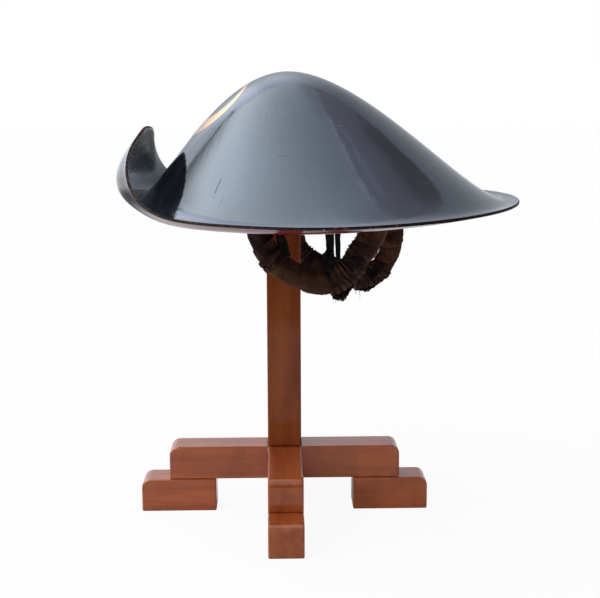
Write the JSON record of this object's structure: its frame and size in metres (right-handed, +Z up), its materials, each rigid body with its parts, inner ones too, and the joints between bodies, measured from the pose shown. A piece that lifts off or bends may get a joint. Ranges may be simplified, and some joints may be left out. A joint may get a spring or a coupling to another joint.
{
  "type": "lacquered war hat on stand",
  "caption": "Wide lacquered war hat with a turned-up front brim, head cushion and two padded ear loops, resting on a wooden post stand.",
  "frame": {"origin": "on the floor, under the middle of the whole object's box", "axes": "+Z up; the hat faces -X, so its left side is -Y"},
  "size_m": [0.3738, 0.376, 0.42],
  "materials": {
    "lacquer": "glossy black lacquer outside, red lacquer inside",
    "varnished_wood": "orange-brown wood, gloss varnish",
    "screw_steel": "plain steel",
    "cushion_cloth": "stuffed plain cloth",
    "brown_cloth": "worn brown cloth strip, wound",
    "black_cord": "black cord",
    "dark_iron": "blackened iron"
  },
  "bodies": {
    "stand": {"base_beam_cross": "varnished_wood", "base_beam_long": "varnished_wood", "disc_screw": "screw_steel", "foot_back": "varnished_wood", "foot_front": "varnished_wood", "foot_left": "varnished_wood", "foot_right": "varnished_wood", "foot_screw_back_1": "screw_steel", "foot_screw_back_2": "screw_steel", "foot_screw_front_1": "screw_steel", "foot_screw_front_2": "screw_steel", "foot_screw_left_1": "screw_steel", "foot_screw_left_2": "screw_steel", "foot_screw_right_1": "screw_steel", "foot_screw_right_2": "screw_steel", "head_disc": "varnished_wood", "post": "varnished_wood", "post_screw": "screw_steel"},
    "hat": {"cushion_cord_1": "black_cord", "cushion_cord_2": "black_cord", "cushion_cord_3": "black_cord", "cushion_cord_4": "black_cord", "cushion_staple_1": "dark_iron", "cushion_staple_2": "dark_iron", "cushion_staple_3": "dark_iron", "cushion_staple_4": "dark_iron", "hat_shell": "lacquer", "head_cushion": "cushion_cloth", "left_back_staple": "dark_iron", "left_front_staple": "dark_iron", "left_middle_staple": "dark_iron", "right_back_staple": "dark_iron", "right_front_staple": "dark_iron", "right_middle_staple": "dark_iron"},
    "left_loop": {"left_back_ring": "dark_iron", "left_ear_loop": "brown_cloth", "left_front_ring": "dark_iron", "left_middle_ring": "dark_iron", "left_tie_band": "black_cord", "left_tie_cord": "black_cord", "left_wrap_end": "brown_cloth"},
    "right_loop": {"right_back_ring": "dark_iron", "right_ear_loop": "brown_cloth", "right_front_ring": "dark_iron", "right_middle_ring": "dark_iron", "right_tie_band": "black_cord", "right_tie_cord": "black_cord", "right_wrap_end": "brown_cloth"}
  },
  "joints": [
    {"name": "hat_lift", "type": "slide", "parent": "stand", "child": "hat", "axis": [0, 0, 1], "range_m": [0, 0.2]},
    {"name": "left_loop_swing", "type": "hinge", "parent": "hat", "child": "left_loop", "pos_m": [-0.03234, -0.08222, 0.32804], "axis": [-0.9981, 0.061, 0], "range_deg": [-12, 45]},
    {"name": "right_loop_swing", "type": "hinge", "parent": "hat", "child": "right_loop", "pos_m": [-0.02208, 0.08547, 0.32804], "axis": [0.9981, -0.061, 0], "range_deg": [-12, 45]}
  ]
}
